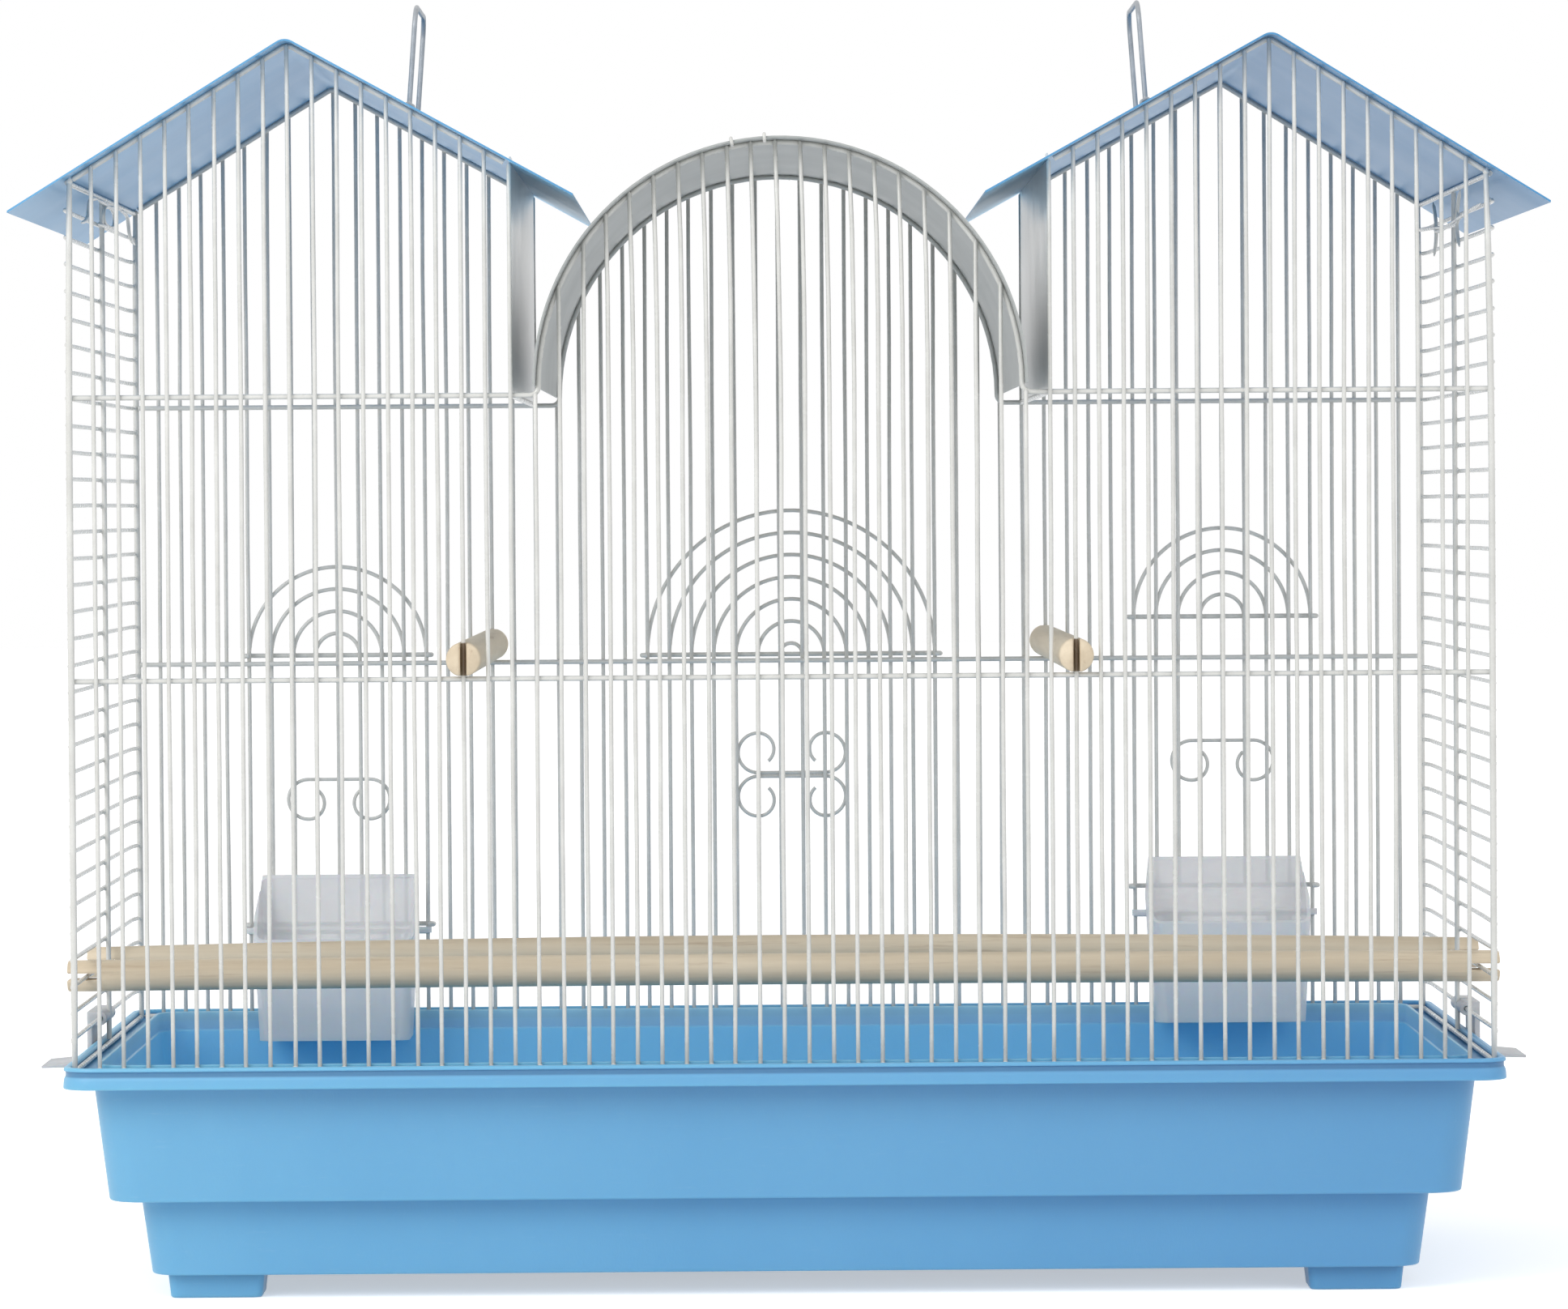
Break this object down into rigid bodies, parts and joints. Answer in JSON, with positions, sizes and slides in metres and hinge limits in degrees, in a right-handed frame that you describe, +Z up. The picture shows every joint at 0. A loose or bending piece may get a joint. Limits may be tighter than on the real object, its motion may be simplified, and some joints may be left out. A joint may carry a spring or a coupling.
{
  "type": "bird cage",
  "caption": "Wire bird cage with gable and barrel roofs, sliding doors, perches, seed cups, carrying handles and a deep plastic base.",
  "frame": {"origin": "on the floor, under the middle of the cage", "axes": "+X along the width to the right in the picture, +Y towards the wall with the sliding doors, +Z up"},
  "size_m": [0.7066, 0.3596, 0.6],
  "materials": {
    "blue_plastic": "satin",
    "white_wire": "gloss",
    "blue_sheet": "satin",
    "grey_sheet": "satin",
    "wood": "matte",
    "clear_plastic": "translucent",
    "grey_plastic": "satin"
  },
  "bodies": {
    "base": {"base_tub": "blue_plastic"},
    "cage": {"arch_clips": "white_wire", "arch_roof": "grey_sheet", "corner_posts": "white_wire", "door_sills": "white_wire", "door_wall_bottom_rail": "white_wire", "door_wall_eave_rail": "white_wire", "door_wall_gable_frames": "white_wire", "door_wall_lower_rail": "white_wire", "door_wall_wires": "white_wire", "far_long_perch": "wood", "left_gable_roof": "blue_sheet", "left_handle_eyes": "white_wire", "left_inner_panel": "grey_sheet", "left_short_perch": "wood", "left_wall_bottom_rail": "white_wire", "left_wall_top_rail": "white_wire", "left_wall_upright": "white_wire", "left_wall_wires": "white_wire", "near_long_perch": "wood", "plain_wall_bottom_rail": "white_wire", "plain_wall_eave_rail": "white_wire", "plain_wall_gable_frames": "white_wire", "plain_wall_lower_rail": "white_wire", "plain_wall_wires": "white_wire", "right_gable_roof": "blue_sheet", "right_handle_eyes": "white_wire", "right_inner_panel": "grey_sheet", "right_short_perch": "wood", "right_wall_bottom_rail": "white_wire", "right_wall_top_rail": "white_wire", "right_wall_upright": "white_wire", "right_wall_wires": "white_wire", "valley_rails": "white_wire"},
    "main_door": {"main_door_wires": "white_wire", "main_door_crossbar": "white_wire", "main_door_bottom_bar": "white_wire", "main_door_scrolls": "white_wire"},
    "left_door": {"left_door_wires": "white_wire", "left_door_crossbar": "white_wire", "left_door_bottom_bar": "white_wire", "left_door_scroll": "white_wire"},
    "right_door": {"right_door_wires": "white_wire", "right_door_crossbar": "white_wire", "right_door_bottom_bar": "white_wire", "right_door_scroll": "white_wire"},
    "left_cup": {"left_cup": "clear_plastic"},
    "right_cup": {"right_cup": "clear_plastic"},
    "left_handle": {"left_handle": "white_wire"},
    "right_handle": {"right_handle": "white_wire"},
    "left_latch": {"left_latch": "grey_plastic"},
    "right_latch": {"right_latch": "grey_plastic"}
  },
  "joints": [
    {"name": "cage_lift", "type": "slide", "parent": "base", "child": "cage", "axis": [0, 0, 1], "range_m": [0, 0.12]},
    {"name": "main_door_slide", "type": "slide", "parent": "cage", "child": "main_door", "axis": [0, 0, 1], "range_m": [0, 0.11]},
    {"name": "left_door_slide", "type": "slide", "parent": "cage", "child": "left_door", "axis": [0, 0, 1], "range_m": [0, 0.11]},
    {"name": "right_door_slide", "type": "slide", "parent": "cage", "child": "right_door", "axis": [0, 0, 1], "range_m": [-0.0105, 0.0935]},
    {"name": "left_cup_lift", "type": "slide", "parent": "cage", "child": "left_cup", "axis": [0, 0, 1], "range_m": [0, 0.012]},
    {"name": "right_cup_lift", "type": "slide", "parent": "cage", "child": "right_cup", "axis": [0, 0, 1], "range_m": [0, 0.012]},
    {"name": "left_handle_swing", "type": "hinge", "parent": "cage", "child": "left_handle", "pos_m": [-0.17373, 0, 0.54994], "axis": [0, 1, 0], "range_deg": [-62, 110]},
    {"name": "right_handle_swing", "type": "hinge", "parent": "cage", "child": "right_handle", "pos_m": [0.17373, 0, 0.54994], "axis": [0, 1, 0], "range_deg": [-110, 62]},
    {"name": "left_latch_swing", "type": "hinge", "parent": "cage", "child": "left_latch", "pos_m": [-0.32517, 0, 0.12064], "axis": [0, 1, 0], "range_deg": [0, 50]},
    {"name": "right_latch_swing", "type": "hinge", "parent": "cage", "child": "right_latch", "pos_m": [0.32517, 0, 0.12064], "axis": [0, 1, 0], "range_deg": [-50, 0]}
  ]
}
